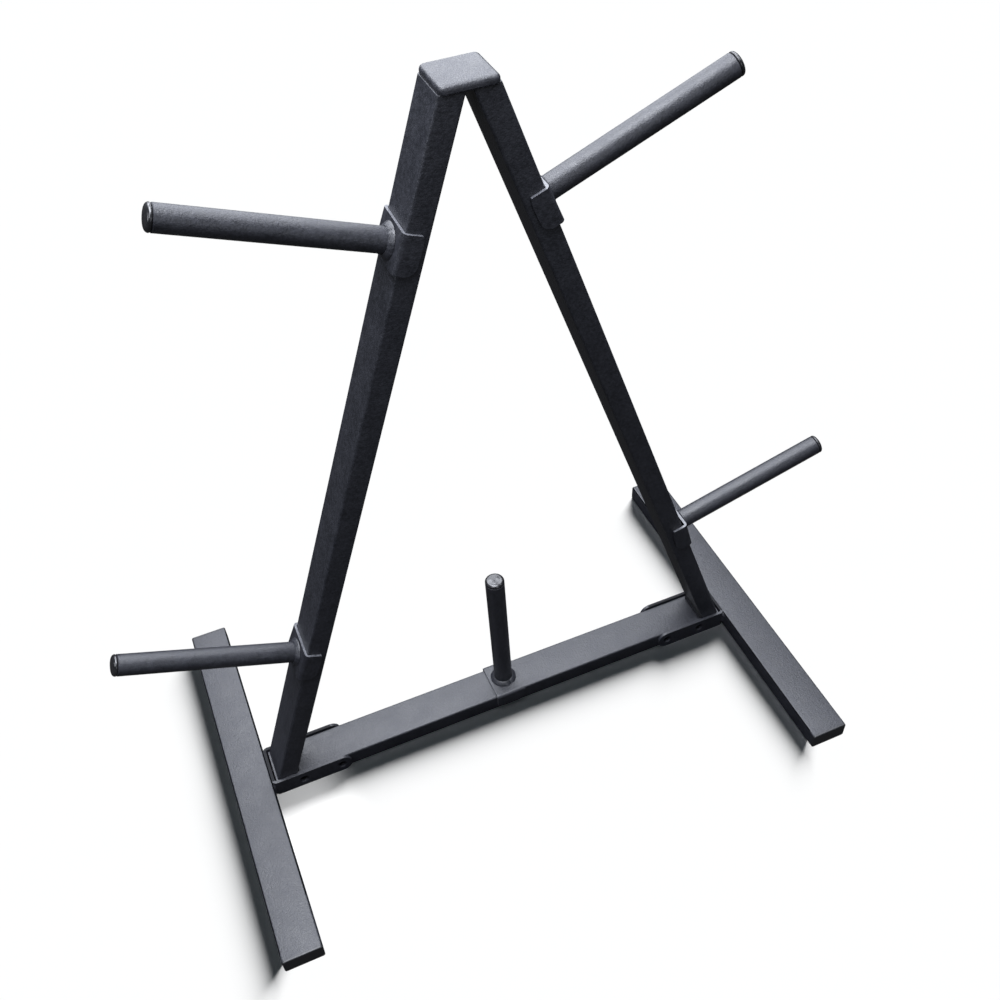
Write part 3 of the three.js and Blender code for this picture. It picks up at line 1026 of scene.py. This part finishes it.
def hangLamp(name, kind, power, place, away, floor, state):
    # the floor is either all that the lamp lights or the one thing that it leaves out
    data = bpy.data.lights.new(name, kind)
    data.energy = power
    lamp = bpy.data.objects.new(name, data)
    lamp.location = place
    lamp.rotation_euler = away.to_track_quat("Z", "Y").to_euler()
    scene.collection.objects.link(lamp)
    lit = bpy.data.collections.new(name + "Reach")
    lit.objects.link(floor)
    lit.collection_objects[0].light_linking.link_state = state
    lamp.light_linking.receiver_collection = lit
    return lamp


def makePanel(name, panel, floor):
    azimuth, elevation, wide, tall, radiance = panel
    away = towards(azimuth, elevation)
    place = Vector(boxes["aim"]) + boxes["distance"] * away
    lamp = hangLamp(name, "AREA", radiance * math.pi * wide * tall, place, away, floor, "EXCLUDE")
    lamp.data.shape = "RECTANGLE"
    lamp.data.size, lamp.data.size_y = wide, tall
    lamp.data.color = boxes["tint"]


def makeFootShade(side, x):
    inset = footShade["inset"]
    half, end = tube["wide"] / 2 - inset, foot["length"] / 2 - inset
    front = footShade["short"] - end
    slant = 2 * half / math.tan(math.radians(floorLight["azimuth"]))
    ground = [(x - half, front), (x + half, front + slant), (x + half, end), (x - half, end)]
    bm = bmesh.new()
    face = bm.faces.new([bm.verts.new((*corner, inset)) for corner in ground])
    tall = tube["narrow"] - 2 * inset
    shiftMade(bm, bmesh.ops.extrude_face_region(bm, geom=[face]), (0, 0, tall))
    bmesh.ops.recalc_face_normals(bm, faces=bm.faces)
    shade = objectFrom(bm, f"{side}FootShade")
    shade.data.materials.append(coat)
    shade.visible_camera = False


def makeFloorLight(floor):
    away = towards(floorLight["azimuth"], floorLight["elevation"])
    place = floorLight["distance"] * away
    lamp = hangLamp("floorLight", "SUN", floorLight["strength"], place, away, floor, "INCLUDE")
    lamp.data.angle = math.radians(floorLight["width"])
    shade = bpy.data.collections.new("floorShade")
    for piece in scene.objects:
        if any(word in piece.name for word in floorLight["shadedBy"]):
            shade.objects.link(piece)
    lamp.light_linking.blocker_collection = shade


def makeCornerSpot(floor):
    spot = cornerSpot
    aim = Vector((spot["target"] - footInside, -armOutside / 2 - spot["target"], 0))
    place = aim + Vector((spot["aside"], -spot["ahead"], spot["height"]))
    lamp = hangLamp("leftCornerSpot", "SPOT", spot["power"], place, place - aim, floor, "INCLUDE")
    lamp.data.spot_size = math.radians(spot["cone"])
    lamp.data.spot_blend = 1.0
    lamp.data.shadow_soft_size = spot["soft"]


def backgroundRay(finish):
    # how much of the background a ray shows: all to the camera and through glass, a small share in gloss
    rays = finish.tree.nodes.new("ShaderNodeLightPath")
    camera, gloss, glass = (
        Wire(finish, rays.outputs[ray]) for ray in ("Is Camera Ray", "Is Glossy Ray", "Is Transmission Ray")
    )
    return (camera + studio["glossShare"] * gloss + glass).clamped()


def makeFloor():
    bm = bmesh.new()
    bmesh.ops.create_grid(bm, x_segments=1, y_segments=1, size=studio["floor"] / 2)
    bmesh.ops.translate(bm, verts=bm.verts, vec=(0, 0, -studio["drop"]))
    floor = objectFrom(bm, "floor")
    finish = Finish(bpy.data.materials.new("floorPaper"))
    colour = finish.mix(backgroundRay(finish), studio["bounce"], studio["floorColour"])
    floor.data.materials.append(finish.surface(Base_Color=colour, Roughness=0.9, Specular_IOR_Level=0.0))
    return floor


def lightWorld():
    world = bpy.data.worlds.new("studio")
    finish = Finish(world)
    scene.world = world
    seen = backgroundRay(finish)
    dim = finish.node("ShaderNodeBackground", {}, {"Color": (*studio["world"], 1), "Strength": 1})
    white = finish.node("ShaderNodeBackground", {}, {"Color": (1, 1, 1, 1), "Strength": 1})
    mixed = finish.node("ShaderNodeMixShader", {}, {0: seen, 1: dim, 2: white})
    finish.output("ShaderNodeOutputWorld", mixed)


floor = makeFloor()
lightWorld()
for name, panel in panels.items():
    makePanel(name, panel, floor)
for side, sign in (("left", -1), ("right", 1)):
    makeFootShade(side, sign * foot["spacing"] / 2)
makeFloorLight(floor)
makeCornerSpot(floor)
print("floor and light made")
